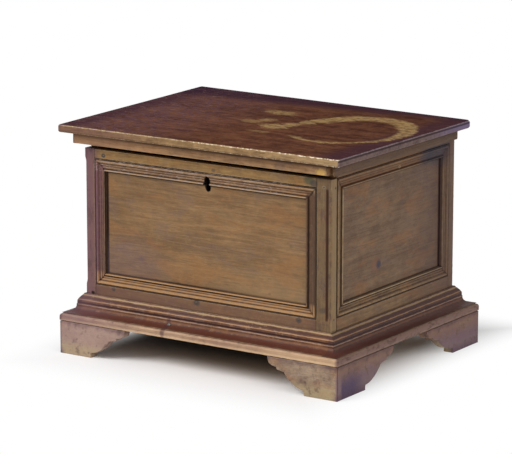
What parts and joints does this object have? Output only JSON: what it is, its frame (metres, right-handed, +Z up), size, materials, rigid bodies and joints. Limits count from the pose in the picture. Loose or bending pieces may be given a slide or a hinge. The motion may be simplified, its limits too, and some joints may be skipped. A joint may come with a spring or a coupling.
{
  "type": "coffer",
  "caption": "Small joined wooden coffer with panelled front and sides, moulded base on bracket feet, overhanging hinged lid and an iron lock inside.",
  "frame": {"origin": "on the floor, under the middle of the coffer", "axes": "+X to the right along the front, -Y towards the viewer of the front, +Z up"},
  "size_m": [0.4544, 0.3714, 0.3257],
  "materials": {
    "walnut_front": "worn wax",
    "walnut_side": "worn wax",
    "walnut_lid": "worn polish",
    "walnut_base": "worn wax",
    "pine_inside": "bare",
    "old_iron": "dark, pitted"
  },
  "bodies": {
    "carcass": {"back_board": "pine_inside", "back_post_left": "walnut_side", "back_post_right": "walnut_side", "back_rail": "walnut_side", "base_moulding_back": "walnut_base", "base_moulding_front": "walnut_base", "base_moulding_left": "walnut_base", "base_moulding_right": "walnut_base", "bottom_board": "pine_inside", "foot_back_a": "walnut_base", "foot_back_b": "walnut_base", "foot_front_a": "walnut_base", "foot_front_b": "walnut_base", "foot_left_a": "walnut_base", "foot_left_b": "walnut_base", "foot_right_a": "walnut_base", "foot_right_b": "walnut_base", "front_bottom_rail": "walnut_front", "front_moulding_bottom": "walnut_front", "front_moulding_left": "walnut_front", "front_moulding_right": "walnut_front", "front_moulding_top": "walnut_front", "front_panel": "walnut_front", "front_post_left": "walnut_front", "front_post_right": "walnut_front", "front_top_rail": "walnut_front", "hinge_leaf_left": "old_iron", "hinge_leaf_right": "old_iron", "hinge_pin_left": "old_iron", "hinge_pin_right": "old_iron", "left_bottom_rail": "walnut_side", "left_moulding_bottom": "walnut_side", "left_moulding_left": "walnut_side", "left_moulding_right": "walnut_side", "left_moulding_top": "walnut_side", "left_panel": "walnut_side", "left_top_rail": "walnut_side", "lock_case": "old_iron", "lock_key_pin": "old_iron", "lock_spring": "old_iron", "plinth_back": "walnut_base", "plinth_front": "walnut_base", "plinth_left": "walnut_base", "plinth_right": "walnut_base", "right_bottom_rail": "walnut_side", "right_moulding_bottom": "walnut_side", "right_moulding_left": "walnut_side", "right_moulding_right": "walnut_side", "right_moulding_top": "walnut_side", "right_panel": "walnut_side", "right_top_rail": "walnut_side"},
    "lid": {"lid_board": "walnut_lid", "lid_strip_front": "walnut_front", "lid_strip_left": "walnut_side", "lid_strip_right": "walnut_side", "lid_hinge_leaf_left": "old_iron", "lid_hinge_leaf_right": "old_iron", "lock_staple": "old_iron"},
    "bolt": {"lock_bolt": "old_iron"}
  },
  "joints": [
    {"name": "lid_hinge", "type": "hinge", "parent": "carcass", "child": "lid", "pos_m": [0, 0.1469, 0.3085], "axis": [-1, 0, 0], "range_deg": [0, 100]},
    {"name": "bolt_slide", "type": "slide", "parent": "carcass", "child": "bolt", "axis": [-1, 0, 0], "range_m": [0, 0.009]}
  ]
}
